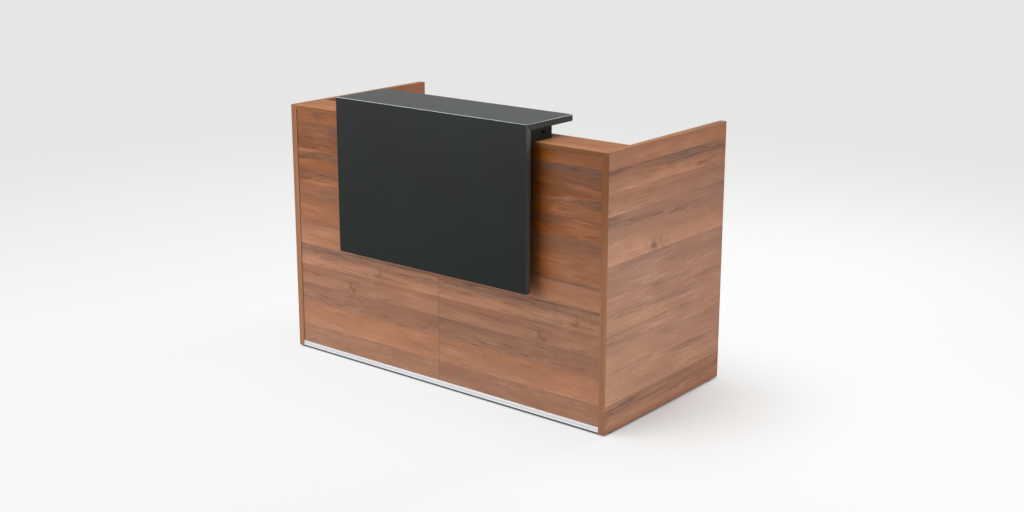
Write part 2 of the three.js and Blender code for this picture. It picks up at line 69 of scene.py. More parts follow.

# %% [markdown]
# The record says which body carries each node and which finish it wants. A small lookup keeps the
# bodies in one place, so that a piece made later can ask for its body by the node's name.

# %% Look up bodies
body_of = {}
for body, nodes in frame["record"]["behaviour"]["bodies"].items():
    for node in nodes:
        body_of[node] = body

# %% [markdown]
# ## Camera
# The picture was taken from the visitor's right, a little above head height, with a longish lens.
# The lens is shifted slightly because the picture was cropped after it was taken.

# %% Place the camera
CAMERA_PLACE = (3.5695, -4.3448, 2.0464)
CAMERA_TURN = 38.873
CAMERA_DIP = 14.175
camera = bpy.data.objects.new("camera", bpy.data.cameras.new("camera"))
camera.data.sensor_width = 36.0
camera.data.lens = 50.288
camera.data.shift_x = 0.0015
camera.data.shift_y = -0.0386
camera.data.clip_end = 300.0
camera.location = CAMERA_PLACE
camera.rotation_euler = (math.radians(90.0 - CAMERA_DIP), 0.0, math.radians(CAMERA_TURN))
bpy.context.scene.collection.objects.link(camera)
bpy.context.scene.camera = camera
bpy.context.scene.view_settings.view_transform = "Standard"
print("camera at", CAMERA_PLACE, "with a lens of", round(camera.data.lens, 1), "mm")

# %% [markdown]
# ## Writing node trees as sums
# Materials, the sky and the screws are all node trees. Wiring one by hand takes a dozen lines for a
# single sum, so one class stands for an output and understands +, -, *, / and **, and another makes
# any node from its type, its settings and what goes into its sockets.

# %% Two helper classes for nodes
class Wire:
    """One output of a node, which Python's operators can work on."""

    def __init__(self, tree, socket):
        self.tree = tree
        self.socket = socket

    def out(self, name):
        return Wire(self.tree, self.socket.node.outputs[name])

    def sum(self, operation, first, second):
        return self.tree.node("ShaderNodeMath", {"operation": operation}, {0: first, 1: second})

    def __add__(self, other):
        return self.sum("ADD", self, other)

    def __radd__(self, other):
        return self.sum("ADD", other, self)

    def __sub__(self, other):
        return self.sum("SUBTRACT", self, other)

    def __rsub__(self, other):
        return self.sum("SUBTRACT", other, self)

    def __mul__(self, other):
        return self.sum("MULTIPLY", self, other)

    def __rmul__(self, other):
        return self.sum("MULTIPLY", other, self)

    def __truediv__(self, other):
        return self.sum("DIVIDE", self, other)

    def __rtruediv__(self, other):
        return self.sum("DIVIDE", other, self)

    def __pow__(self, other):
        return self.sum("POWER", self, other)

    def __rpow__(self, other):
        return self.sum("POWER", other, self)

    def __gt__(self, other):
        return self.sum("GREATER_THAN", self, other)

    def __lt__(self, other):
        return self.sum("LESS_THAN", self, other)


class Tree:
    """A node tree of a material, the sky or Geometry Nodes."""

    def __init__(self, nodes):
        self.nodes = nodes

    def node(self, kind, settings, sockets, output=0):
        made = self.nodes.nodes.new(kind)
        for key, value in settings.items():
            if key == "stops":
                self.fill(made.color_ramp, value)
            else:
                setattr(made, key, value)
        for key, value in sockets.items():
            self.feed(made.inputs[key], value)
        return Wire(self, made.outputs[output])

    def fill(self, ramp, stops):
        while len(ramp.elements) < len(stops):
            ramp.elements.new(1.0)
        for element, (position, colour) in zip(ramp.elements, stops):
            element.position = position
            element.color = colour

    def feed(self, socket, value):
        if isinstance(value, Wire):
            self.nodes.links.new(value.socket, socket)
        else:
            socket.default_value = value


print("helpers ready:", Wire.__name__, Tree.__name__)

# %% [markdown]
# Every finish starts from the same few nodes: the point on the piece, a noise stretched along one
# direction, a soft step, a mix of two colours, and a shallow bump. They get short names here.

# %% Common parts of a finish
class Finish(Tree):
    """A material under a Principled shader."""

    def __init__(self, name):
        self.material = bpy.data.materials.new(name)
        self.material.use_nodes = True
        super().__init__(self.material.node_tree)
        self.shader = self.nodes.nodes["Principled BSDF"]
        place = self.node("ShaderNodeTexCoord", {}, {}, "Object")
        self.x = self.node("ShaderNodeSeparateXYZ", {}, {0: place}, "X")
        self.y = self.x.out("Y")
        self.z = self.x.out("Z")

    def noise(self, first, second, third, detail=2.0, roughness=0.5):
        point = self.node("ShaderNodeCombineXYZ", {}, {0: first, 1: second, 2: third})
        sockets = {"Vector": point, "Scale": 1.0, "Detail": detail, "Roughness": roughness}
        return self.node("ShaderNodeTexNoise", {}, sockets)

    def chance(self, value):
        return self.node("ShaderNodeTexWhiteNoise", {"noise_dimensions": "1D"}, {"W": value})

    def step(self, value, low, high):
        settings = {"interpolation_type": "SMOOTHSTEP"}
        return self.node("ShaderNodeMapRange", settings, {0: value, 1: low, 2: high})

    def climb(self, value, low, high):
        return self.node("ShaderNodeMapRange", {}, {0: value, 1: low, 2: high})

    def whole(self, value):
        return self.node("ShaderNodeMath", {"operation": "FLOOR"}, {0: value})

    def mix(self, share, first, second, blend="MIX"):
        settings = {"data_type": "RGBA", "blend_type": blend}
        return self.node("ShaderNodeMix", settings, {0: share, 6: first, 7: second}, 2)

    def bump(self, height, strength, distance):
        sockets = {"Strength": strength, "Distance": distance, "Height": height}
        self.set("Normal", self.node("ShaderNodeBump", {}, sockets))

    def set(self, socket, value):
        self.feed(self.shader.inputs[socket], value)


def srgb(red, green, blue):
    """A colour as a paint chart gives it, in the linear numbers that shaders use."""
    shares = [value / 255.0 for value in (red, green, blue)]
    lit = [share / 12.92 if share <= 0.04045 else ((share + 0.055) / 1.055) ** 2.4 for share in shares]
    return (*lit, 1.0)


print("a mid walnut in linear light:", [round(value, 3) for value in srgb(150, 100, 72)])

# %% [markdown]
# ## Floor and light
# A product studio is a pale floor that runs out of sight under large soft boxes. The floor is one wide
# disc. Under the front of the desk its paint is darkened, a painted shade with no glow, and that painted
# shade fades out towards the open staff side, but stays in the narrow gaps below the side panels. Beside
# the right side panel the glow is cut in a soft round patch, a painted shadow. Further out, where
# no soft box reaches, most of what the lens and shiny things see of it is its own even paleness.

# %% Lay the floor
FLOOR_REACH = 90.0
NEAR_FLOOR = (1.0, 1.0, 1.0, 1.0)
FAR_FLOOR = (0.81, 0.81, 0.80, 1.0)
NEAR_GLOW = 0.79
FAR_GLOW = 0.97
SHADOW_PATCH_LOSS = 0.74
SHADOW_PATCH_WIDTH = 0.95
SHADOW_PATCH_LENGTH = 0.95
SHADOW_PATCH_MIDDLE = 0.05
SHADOW_PATCH_CLEAR = 0.80
GAP_SHADE = 0.42
FLOOR_BOUNCE = (0.72, 0.72, 0.715, 1.0)
FLOOR_SHADE = (0.18, 0.18, 0.18, 1.0)
floor_shape = bmesh.new()
bmesh.ops.create_circle(floor_shape, cap_ends=True, radius=FLOOR_REACH, segments=96)
floor_mesh = bpy.data.meshes.new("floor")
floor_shape.to_mesh(floor_mesh)
floor_shape.free()
floor = bpy.data.objects.new("floor", floor_mesh)
bpy.context.scene.collection.objects.link(floor)
floor_paint = Finish("floor_paint")
reach = (floor_paint.x * floor_paint.x + floor_paint.y * floor_paint.y) ** 0.5
paleness = floor_paint.mix(floor_paint.step(reach, 0.3, 5.6), NEAR_FLOOR, FAR_FLOOR)
floor_paint.set("Roughness", 0.9)
floor_paint.set("Specular IOR Level", 0.0)
lens = floor_paint.node("ShaderNodeLightPath", {}, {}, "Is Camera Ray")
direct = lens + lens.out("Is Glossy Ray") + lens.out("Is Transmission Ray")
direct.socket.node.use_clamp = True
foot_low, foot_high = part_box("plinth_profile")
heel = cad_high.y
beside = floor_paint.node("ShaderNodeMath", {"operation": "ABSOLUTE"}, {0: floor_paint.x})
# painted shade: the floor's colour is darkened under the front of the desk and in the gaps below the side
# panels
covered = 1.0 - floor_paint.step(beside, cad_high.x - 0.012, cad_high.x + 0.004)
covered = covered * floor_paint.step(floor_paint.y, foot_low.y - 0.004, foot_low.y + 0.012)
covered = covered * (1.0 - floor_paint.step(floor_paint.y, foot_low.y + 0.10, heel))
panel_low, panel_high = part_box("side_panel_right")
gap = floor_paint.step(beside, panel_low.x - 0.006, panel_low.x + 0.002)
gap = gap * (1.0 - floor_paint.step(beside, panel_high.x - 0.003, panel_high.x + 0.009))
gap = gap * floor_paint.step(floor_paint.y, panel_low.y - 0.004, panel_low.y + 0.008)
gap = gap * (1.0 - floor_paint.step(floor_paint.y, panel_high.y - 0.008, panel_high.y + 0.004))
covered = 1.0 - (1.0 - covered) * (1.0 - gap * GAP_SHADE)
floor_paint.set("Base Color", floor_paint.mix(covered, FLOOR_BOUNCE, FLOOR_SHADE))
# painted shadow: a soft round patch beside the right side panel where the floor's glow is cut
shadow_patch_x = (floor_paint.x - cad_high.x) / SHADOW_PATCH_WIDTH
shadow_patch_y = (floor_paint.y - SHADOW_PATCH_MIDDLE) / SHADOW_PATCH_LENGTH
shadow_patch = 1.0 - floor_paint.step((shadow_patch_x * shadow_patch_x + shadow_patch_y * shadow_patch_y) ** 0.5, 0.0, 1.0)
before = 1.0 - floor_paint.step(floor_paint.y, foot_low.y, foot_low.y + 0.08)
before = before * (1.0 - floor_paint.step(floor_paint.x, cad_high.x - 0.10, cad_high.x + 0.30))
shadow_patch = shadow_patch * (1.0 - before * SHADOW_PATCH_CLEAR)
share = NEAR_GLOW + (FAR_GLOW - NEAR_GLOW) * floor_paint.step(reach, 1.0, 4.5)
share = (share - SHADOW_PATCH_LOSS * shadow_patch) * (1.0 - covered)
glow = floor_paint.node("ShaderNodeEmission", {}, {"Color": paleness, "Strength": 1.0})
matt = Wire(floor_paint, floor_paint.shader.outputs["BSDF"])
even = floor_paint.node("ShaderNodeMixShader", {}, {0: direct * share, 1: matt, 2: glow})
floor_paint.feed(floor_paint.nodes.nodes["Material Output"].inputs["Surface"], even)
floor_mesh.materials.append(floor_paint.material)
print("floor reaches", FLOOR_REACH, "m")

# %% [markdown]
# The sky is dim, and dimmer still in front at the visitor's right, so that the gap beside the dark
# panel stays in shade. What the lens and shiny things see of it is an even pale grey. Four soft boxes do
# the rest: a large one overhead, one in front at the visitor's left that gives the counter a soft
# shadow, one off the right side panel, which stands back behind the line of the front, and one behind
# for the staff side.

# %% Light the room
SKY_LIGHT = 0.33
SKY_LOSS = 0.80
SKY_SEEN = 0.80
sky = bpy.data.worlds.new("sky")
bpy.context.scene.world = sky
sky.use_nodes = True
sky.node_tree.nodes.clear()
dome = Tree(sky.node_tree)
lens = dome.node("ShaderNodeLightPath", {}, {}, "Is Camera Ray")
direct = lens + lens.out("Is Glossy Ray") + lens.out("Is Transmission Ray")
direct.socket.node.use_clamp = True
toward = dome.node("ShaderNodeTexCoord", {}, {}, "Generated")
rightward = dome.node("ShaderNodeSeparateXYZ", {}, {0: toward}, "X")
corner = rightward * 0.85 - rightward.out("Y") * 0.5
corner = dome.node("ShaderNodeMapRange", {"interpolation_type": "SMOOTHSTEP"}, {0: corner, 1: 0.0, 2: 0.75})
strength = SKY_LIGHT * (1.0 - SKY_LOSS * corner)
pale = (1.0, 1.0, 0.99, 1.0)
light = dome.node("ShaderNodeBackground", {}, {"Color": pale, "Strength": strength})
seen = dome.node("ShaderNodeBackground", {}, {"Color": pale, "Strength": SKY_SEEN})
both = dome.node("ShaderNodeMixShader", {}, {0: direct, 1: light, 2: seen})
dome.nodes.links.new(both.socket, dome.nodes.nodes.new("ShaderNodeOutputWorld").inputs["Surface"])
print("sky lights with", SKY_LIGHT, "and is seen as", SKY_SEEN)


def soft_box(name, place, target, width, height, power):
    """A flat lamp that faces a target and doesn't show itself to the lens."""
    lamp = bpy.data.objects.new(name, bpy.data.lights.new(name, "AREA"))
    lamp.data.shape = "RECTANGLE"
    lamp.data.size = width
    lamp.data.size_y = height
    lamp.data.energy = power
    lamp.location = place
    lamp.rotation_euler = (Vector(place) - Vector(target)).to_track_quat("Z", "Y").to_euler()
    lamp.visible_camera = False
    bpy.context.scene.collection.objects.link(lamp)
    return lamp


lamps = [
    soft_box("overhead_box", (-0.6, -0.3, 6.0), (0.0, -0.1, 0.8), 4.5, 4.5, 159.0),
    soft_box("front_box", (-2.3, -4.3, 2.0), (0.0, -0.3, 0.6), 4.4, 2.2, 180.0),
    soft_box("side_box", (3.8, 0.34, 1.3), (0.8, -0.2, 0.4), 1.4, 1.6, 57.0),
    soft_box("rear_box", (0.9, 3.4, 2.6), (-0.5, 0.1, 0.9), 1.6, 1.6, 110.0),
]
print(len(lamps), "soft boxes")

# %% [markdown]
# ## Walnut planks
# The boards are faced with a printed decor: rows of planks with the grain lying level, each row a
# little different, grey-brown streaks gathering along one edge of a plank, a stave end here and there,
# and a few knots. A picture could be wrapped round the boards, but a picture has one sharpness, so the
# decor is drawn by nodes instead. A running count of planks is built from one clamped ramp per row:
# its whole part says which plank this is, and the rest says how far up the plank the point lies. The
# knots and the longest streaks have places of their own. The grain is crisper on the vivid rows.

# %% Describe the rows of planks
# A row is its lower edge in metres, its tone at the bottom and at the top, its share of grey streaks,
# and how dull its colour is.
FRONT_ROWS = (
    (0.005, 0.72, 0.65, 0.10, 0.18),
    (0.112, 0.81, 0.68, 0.30, 0.10),
    (0.212, 0.64, 0.54, 0.75, 0.20),
    (0.294, 0.69, 0.61, 0.50, 0.16),
    (0.375, 0.75, 0.64, 0.85, 0.14),
    (0.463, 0.70, 0.66, 0.20, 0.10),
    (0.550, 0.60, 0.51, 0.50, 0.08),
    (0.722, 0.47, 0.36, 1.00, 0.05),
    (0.794, 0.46, 0.39, 1.00, 0.03),
    (0.875, 0.35, 0.37, 0.80, 0.05),
    (0.985, 0.51, 0.43, 0.10, 0.0),
)
SIDE_ROWS = (
    (0.005, 0.72, 0.60, 0.90, 0.16),
    (0.112, 0.75, 0.68, 0.25, 0.20),
    (0.205, 0.75, 0.70, 0.45, 0.20),
    (0.380, 0.72, 0.69, 0.50, 0.20),
    (0.520, 0.66, 0.63, 0.25, 0.23),
    (0.638, 0.82, 0.70, 0.25, 0.15),
    (0.730, 0.63, 0.53, 0.80, 0.22),
    (0.818, 0.67, 0.57, 0.45, 0.17),
    (0.900, 0.70, 0.45, 0.90, 0.14),
    (0.985, 0.60, 0.57, 0.15, 0.12),
)
FLAT_ROWS = (
    (-0.420, 0.86, 0.61, 0.15, 0.0),
    (-0.290, 0.62, 0.67, 0.10, 0.0),
    (-0.200, 0.68, 0.60, 0.50, 0.06),
    (-0.095, 0.76, 0.68, 0.30, 0.06),
    (0.010, 0.64, 0.56, 0.60, 0.10),
    (0.095, 0.74, 0.68, 0.30, 0.06),
    (0.190, 0.66, 0.58, 0.50, 0.08),
    (0.290, 0.76, 0.66, 0.35, 0.06),
)
ROWS_END = 1.06
print(len(FRONT_ROWS), "rows on the front,", len(SIDE_ROWS), "on a side,", len(FLAT_ROWS), "on a top")

# %% Draw the planked walnut
STAVE = 0.85
WALNUT_TONES = [
    (0.0, srgb(88, 54, 36)),
    (0.35, srgb(126, 82, 58)),
    (0.62, srgb(155, 106, 79)),
    (1.0, srgb(196, 146, 116)),
]
WALNUT_GREY = srgb(112, 86, 76)
WALNUT_KNOT = srgb(80, 48, 36)
BLACK = srgb(0, 0, 0)
SHADE_SATURATION = 0.20
FRONT_SHADE = 0.20
FRONT_LINE = -0.30
CAP_SHADE = 0.45
CAP_LINE = 0.90
LIP_PAINTED_LIGHT = srgb(200, 150, 112)
FAR_SHADE = 0.20
FOOT_SHADE_RISE = (0.012, 0.040)
FOOT_SHADE = 0.14


# A streak is where its middle lies along and up the board, its half length, half height and depth.
FRONT_STREAKS = (
    (-0.345, 0.549, 0.150, 0.007, 0.90),
    (-0.660, 0.566, 0.120, 0.007, 0.60),
    (-0.344, 0.962, 0.140, 0.004, 0.60),
    (-0.364, 0.850, 0.150, 0.005, 0.60),
    (-0.384, 0.799, 0.120, 0.005, 0.60),
    (-0.334, 0.770, 0.150, 0.004, 0.50),
    (-0.364, 0.704, 0.150, 0.006, 0.30),
    (-0.500, 0.457, 0.640, 0.010, 0.80),
)
SIDE_STREAKS = (
    (0.220, 0.214, 0.200, 0.011, 0.80),
    (-0.060, 0.098, 0.280, 0.011, 0.55),
    (0.070, 0.440, 0.130, 0.012, 0.55),
    (0.250, 0.954, 0.190, 0.010, 0.45),
    (-0.210, 0.459, 0.090, 0.003, 0.50),
    (-0.190, 0.232, 0.110, 0.003, 0.50),
)


def count_planks(finish, rise, rows):
    """How many planks lie below a point, with the part of the last one as a fraction."""
    tops = [row[0] for row in rows[1:]] + [ROWS_END]
    count = 0.0
    for row, top in zip(rows, tops):
        count = finish.climb(rise, row[0], top) + count
    return count


def counter_shade_mask(finish, start, end):
    """How well a point of the front or the cap is hidden from the light by the dark counter, as a mask for
    painted shade.
    """
    low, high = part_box("decor_panel")
    behind = finish.step(finish.x, low.x, low.x + 0.04)
    behind = behind * (1.0 - finish.step(finish.x, high.x + start, high.x + end))
    return behind * finish.step(finish.z, low.z - 0.02, low.z + 0.06)


def lip(finish):
    """The narrow inner lip of the left side panel, which stands proud of the front, and gets a painted
    light.
    """
    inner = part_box("side_panel_left")[1].x
    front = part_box("lower_front_panel_left")[0].y
    face = finish.step(finish.x, inner - 0.0012, inner - 0.0004) * (finish.x < inner + 0.0001)
    return face * (finish.y < front)


def planked_walnut(name, along, across, rows, knots, streaks, repeat=0.0):
    """Walnut decor with its grain along one axis and its planks stacked along another."""
    finish = Finish(name)
    run = {"X": finish.x, "Y": finish.y}[along]
    rise = {"Y": finish.y, "Z": finish.z}[across]
    count = count_planks(finish, rise, rows)
    plank = finish.whole(count - 0.0001)
    part = count - plank
    stops = []
    for index, row in enumerate(rows):
        stops.append((index / len(rows), (row[1], row[2], row[3], row[4])))
    lookup = finish.node("ShaderNodeValToRGB", {"stops": stops}, {0: (plank + 0.5) / len(rows)})
    lookup.socket.node.color_ramp.interpolation = "CONSTANT"
    low_tone = finish.node("ShaderNodeSeparateColor", {}, {0: lookup})
    high_tone = low_tone.out("Green")
    grey = low_tone.out("Blue")
    dull = lookup.out("Alpha")
    if repeat:
        run = run - repeat * (run > 0.0)
    knot = 0.0
    curl = 0.0
    for knot_run, knot_rise in knots:
        off_run = (run - knot_run) / 0.020
        off_rise = (rise - knot_rise) / 0.010
        near = off_run * off_run + off_rise * off_rise
        knot = 0.30 ** near + knot
        curl = 0.93 ** near + curl
        rise = rise + off_rise * 0.80 ** near * 0.005
    stave = finish.whole(run / STAVE + finish.chance(plank) * 9.0)
    depth = plank * 4.7
    cut = depth + finish.chance(plank * 7.31 + stave * 3.17) * 0.9
    sway = rise + (finish.noise(run * 3.0, rise * 8.0, depth) - 0.5) * 0.014
    stain = 0.0
    for streak_run, streak_rise, length, height, strength in streaks:
        off_run = (run - streak_run) / length
        off_rise = (rise * 0.6 + sway * 0.4 - streak_rise) / height
        off_run = off_run * off_run
        stain = 0.35 ** (off_run * off_run + off_rise * off_rise) * strength + stain
    drift = finish.noise(run * 1.5, rise * 7.0, depth + 11.0, 2.0)
    patch = finish.noise(run * 5.0, sway * 18.0, depth + 3.0, 3.0)
    streak = finish.noise(run * 6.0, sway * 85.0, cut, 4.0, 0.62)
    figure = finish.noise(run * 1.7, sway * 24.0, depth + 5.0, 3.0, 0.55)
    hairs = finish.noise(run * 10.0, sway * 250.0, cut + 2.0, 2.0)
    rings = finish.noise(run * 2.2, sway * 46.0, cut + 7.0, 2.0) * 5.0
    rings = finish.node("ShaderNodeMath", {"operation": "PINGPONG"}, {0: rings, 1: 0.5})
    rings = finish.step(rings, 0.20, 0.48)
    fleck = finish.step(finish.noise(run * 26.0, sway * 170.0, cut + 13.0, 2.0), 0.60, 0.72)
    fibre = finish.noise(run * 60.0, sway * 1100.0, depth, 2.0)
    lively = 0.15 + 1.0 * finish.step(patch, 0.42, 0.66)
    crisp = grey * (1.0 - finish.climb(dull, 0.0, 0.11))
    tone = low_tone + (high_tone - low_tone) * part + (drift - 0.5) * 0.26 + (patch - 0.5) * 0.20
    tone = tone - (finish.step(streak, 0.48, 0.72) - 0.35) * (0.10 + 0.40 * crisp) * lively
    tone = tone + (hairs - 0.5) * (0.16 + 0.45 * crisp) * lively - (figure - 0.5) * 0.45 * crisp
    tone = tone + (fibre - 0.5) * 0.05 - (rings - 0.4) * 0.07 * lively
    if along == "Y":
        # painted shade: a side panel is darker towards the rear and in a band along its foot
        tone = tone - run * FAR_SHADE - (1.0 - finish.step(rise, *FOOT_SHADE_RISE)) * FOOT_SHADE
    gather = 0.14 + 0.86 * finish.step(part, 0.30, 0.88)
    veil = grey * finish.step(figure, 0.42, 0.60) * gather
    veil = veil * (0.55 + 0.45 * finish.step(streak, 0.36, 0.62)) + grey * part ** 24.0 * 0.30
    veil = veil + stain * (0.35 + 0.65 * finish.step(streak, 0.36, 0.60))
    lines = finish.step(hairs, 0.54, 0.66) * finish.step(figure, 0.46, 0.58)
    wood = finish.node("ShaderNodeValToRGB", {"stops": WALNUT_TONES}, {0: tone})
    wood = finish.mix(veil * 0.85, wood, WALNUT_GREY)
    wood = finish.mix(lines * (0.14 + 0.50 * grey) + fleck * 0.28 * lively, wood, WALNUT_KNOT)
    if knots:
        flame = finish.noise(run * 40.0, rise * 24.0, depth, 3.0)
        wood = finish.mix(curl * finish.step(flame, 0.48, 0.62) * 0.50, wood, WALNUT_GREY)
        wood = finish.mix(knot * (0.14 + 0.60 * flame), wood, WALNUT_KNOT)
    vivid = 1.10 - dull + (drift - 0.5) * 0.20
    # painted shade: the front behind and beside the dark counter, and the cap at the foot of the counter
    # frame, are darkened and made more saturated
    if along == "X":
        near, start, end, shade = finish.z > CAP_LINE, -0.035, -0.005, CAP_SHADE
        if across == "Z":
            near, start, end, shade = finish.y < FRONT_LINE, -0.01, 0.14, FRONT_SHADE
        counter_shade = counter_shade_mask(finish, start, end) * near
        vivid = vivid + counter_shade * SHADE_SATURATION
        wood = finish.mix(counter_shade * shade, wood, BLACK)
    # painted light: the inner lip of the left side panel is painted paler
    if along == "Y":
        wood = finish.mix(lip(finish), wood, LIP_PAINTED_LIGHT)
    wood = finish.node("ShaderNodeHueSaturation", {}, {"Saturation": vivid, "Color": wood})
    finish.set("Base Color", wood)
    finish.set("Roughness", 0.56 + (streak - 0.5) * 0.14)
    finish.set("Specular IOR Level", 0.08)
    finish.bump(streak * 0.6 + fibre * 0.4, 0.10, 0.0004)
    return finish.material


FRONT_KNOTS = ((-0.469, 0.313), (-0.331, 0.397), (-0.65, 1.012))
SIDE_KNOTS = ((-0.073, 0.660),)
REPEAT = 0.984
front_walnut = planked_walnut("front_walnut", "X", "Z", FRONT_ROWS, FRONT_KNOTS, FRONT_STREAKS, REPEAT)
side_walnut = planked_walnut("side_walnut", "Y", "Z", SIDE_ROWS, SIDE_KNOTS, SIDE_STREAKS)
flat_walnut = planked_walnut("flat_walnut", "X", "Y", FLAT_ROWS, (), ())
print("walnut finishes:", front_walnut.name, side_walnut.name, flat_walnut.name)

# %% [markdown]
# ## Edge bands
# The raw edges of the boards are closed with a smooth walnut-brown strip, which has hardly any figure.
# A strip runs up, over and down a side panel, so one noise is stretched along the strip in both of the
# directions that it takes, and drawn fine only across its width. The strip is painted darker and redder
# high up, a painted shade under the counter, and paler near the floor, a painted light from the floor.
# The upper edge of the strips carries a painted highlight, strongest on the visitors' side and fading
# out towards the staff side.

# %% Draw the edge bands
BAND_LOW = (srgb(144, 99, 69), srgb(164, 117, 87))
BAND_HIGH = (srgb(117, 70, 32), srgb(134, 84, 46))
BAND_HIGHLIGHT = (srgb(146, 94, 54), srgb(165, 110, 70))
HIGHLIGHT_START = -0.27
HIGHLIGHT_END = 0.28


def banded_walnut(name, across_x, across_yz, shade_share, shade_slope, shade_right):
    finish = Finish(name)
    grain = finish.noise(finish.x * across_x, finish.y * across_yz, finish.z * across_yz, 3.0, 0.55)
    pores = finish.noise(finish.x * across_x * 6.0, finish.y * across_yz * 6.0, finish.z * across_yz * 6.0)
    shade = finish.step(grain + (pores - 0.5) * 0.3, 0.25, 0.75)
    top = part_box("wall_cap")[1].z
    # painted shade and light: darker and redder high up under the counter, paler near the floor
    band_shade = finish.step(finish.z, 0.35, 1.0) * (shade_share + shade_slope * finish.x)
    strip = finish.mix(band_shade, finish.mix(shade, *BAND_LOW), finish.mix(shade, *BAND_HIGH))
    # painted highlight: the top edge of the bands, fading out towards the staff side
    top_highlight = finish.step(finish.z, top - 0.0025, top - 0.0015)
    top_highlight = top_highlight * (1.0 - finish.step(finish.y - 0.19 * finish.x, HIGHLIGHT_START, HIGHLIGHT_END))
    # painted light: the inner lip of the left side panel is painted paler
    strip = finish.mix(lip(finish), strip, LIP_PAINTED_LIGHT)
    # painted shade: the front bands on the visitor's right are darkened towards black
    right_front_shade = finish.step(finish.x, 0.0, 0.5) * (finish.y < -0.2)
    strip = finish.mix(right_front_shade * shade_right, strip, BLACK)
    finish.set("Base Color", finish.mix(top_highlight, strip, finish.mix(shade, *BAND_HIGHLIGHT)))
    finish.set("Roughness", 0.44 + 0.12 * pores)
    finish.set("Specular IOR Level", 0.15)
    finish.bump(pores, 0.06, 0.0003)
    return finish.material


upright_band = banded_walnut("upright_band", 150.0, 2.2, 0.70, 0.38, 0.0)
level_band = banded_walnut("level_band", 2.2, 150.0, 0.90, 0.0, 0.22)
print("band finishes:", upright_band.name, level_band.name)

# %% [markdown]
# ## Anthracite
# The counter is faced with a dark, almost black laminate. It is matt but not dead: a very fine pebble
# catches the light, so the top goes grey where it is seen at a low angle. The shelf's copy of it is
# painted paler, a painted light for its top. The upward arris is painted nearly white and made smoother,
# a painted highlight, and that is a finish of its own for the eased edge.

# %% Draw the anthracite laminate
def anthracite_laminate(name, dark, light, roughness, shine):
    finish = Finish(name)
    pebble = finish.noise(finish.x * 900.0, finish.y * 900.0, finish.z * 900.0, 2.0)
    cloud = finish.noise(finish.x * 3.0, finish.y * 3.0, finish.z * 3.0, 3.0)
    shade = finish.step(cloud * 0.6 + pebble * 0.4, 0.30, 0.70)
    finish.set("Base Color", finish.mix(shade, dark, light))
    finish.set("Roughness", roughness + (pebble - 0.5) * 0.16)
    finish.set("Specular IOR Level", shine)
    finish.bump(pebble, 0.10, 0.0002)
    return finish.material


anthracite = anthracite_laminate("anthracite", srgb(4, 12, 10), srgb(10, 19, 16), 0.46, 0.185)
# painted light: the shelf's copy of the anthracite is paler, for its top
shelf_laminate = anthracite_laminate("shelf_laminate", srgb(14, 25, 20), srgb(20, 32, 26), 0.46, 0.32)
frame_laminate = anthracite_laminate("frame_laminate", srgb(12, 15, 13), srgb(20, 23, 21), 0.50, 0.09)
shelf_band = anthracite_laminate("shelf_band", srgb(46, 48, 46), srgb(56, 58, 56), 0.50, 0.20)
# painted light: the decor panel's end strip is a lighter copy of the shelf's end strip
decor_band = anthracite_laminate("decor_band", srgb(70, 73, 70), srgb(80, 83, 80), 0.50, 0.20)
# painted highlights for the upward rounded arris strips, nearly white along the front and grey on the ends
worn_arris = anthracite_laminate("worn_arris", srgb(228, 232, 230), srgb(244, 247, 245), 0.36, 0.22)
end_arris = anthracite_laminate("end_arris", srgb(118, 122, 120), srgb(138, 142, 140), 0.42, 0.16)
print("laminate finishes:", anthracite.name, shelf_laminate.name, worn_arris.name)

# %% [markdown]
# ## Metal and plastic
# The plinth and the stand-offs are anodised aluminium, brushed along their length, and the plinth's
# face is painted a little darker along its middle, a painted shade. The brackets are zinc-plated steel
# with the faint patches that plating has. Pads and grommets are moulded in black plastic with a
# spark-eroded grain, which is a fine noise in the bump and the roughness.

# %% Draw the metals and the plastic
HOLLOW_RIM = 0.003
HOLLOW_SHADE = 0.17


def brushed_aluminium(name):
    finish = Finish(name)
    hair = finish.noise(finish.x * 7.0, finish.y * 1600.0, finish.z * 1600.0, 3.0, 0.6)
    haze = finish.noise(finish.x * 4.0, finish.y * 60.0, finish.z * 60.0)
    # painted shade: the plinth's face is a little darker along its middle
    hollow = finish.step(finish.z, foot_low.z + HOLLOW_RIM, foot_low.z + 3.0 * HOLLOW_RIM)
    hollow = hollow * (1.0 - finish.step(finish.z, foot_high.z - 3.0 * HOLLOW_RIM, foot_high.z - HOLLOW_RIM))
    bright = finish.mix(hair, srgb(220, 222, 226), srgb(240, 241, 244))
    finish.set("Base Color", finish.mix(hollow * HOLLOW_SHADE, bright, BLACK))
    finish.set("Metallic", 1.0)
    finish.set("Roughness", 0.30 + 0.14 * hair + 0.08 * haze)
    finish.bump(hair, 0.05, 0.0002)
    return finish.material


def plated_steel(name):
    finish = Finish(name)
    patch = finish.noise(finish.x * 45.0, finish.y * 45.0, finish.z * 45.0, 3.0)
    grain = finish.noise(finish.x * 700.0, finish.y * 700.0, finish.z * 700.0)
    dark, light = srgb(150, 153, 158), srgb(190, 192, 194)
    finish.set("Base Color", finish.mix(finish.step(patch, 0.3, 0.7), dark, light))
    finish.set("Metallic", 1.0)
    finish.set("Roughness", 0.30 + 0.18 * patch + 0.06 * grain)
    finish.bump(grain, 0.05, 0.0002)
    return finish.material


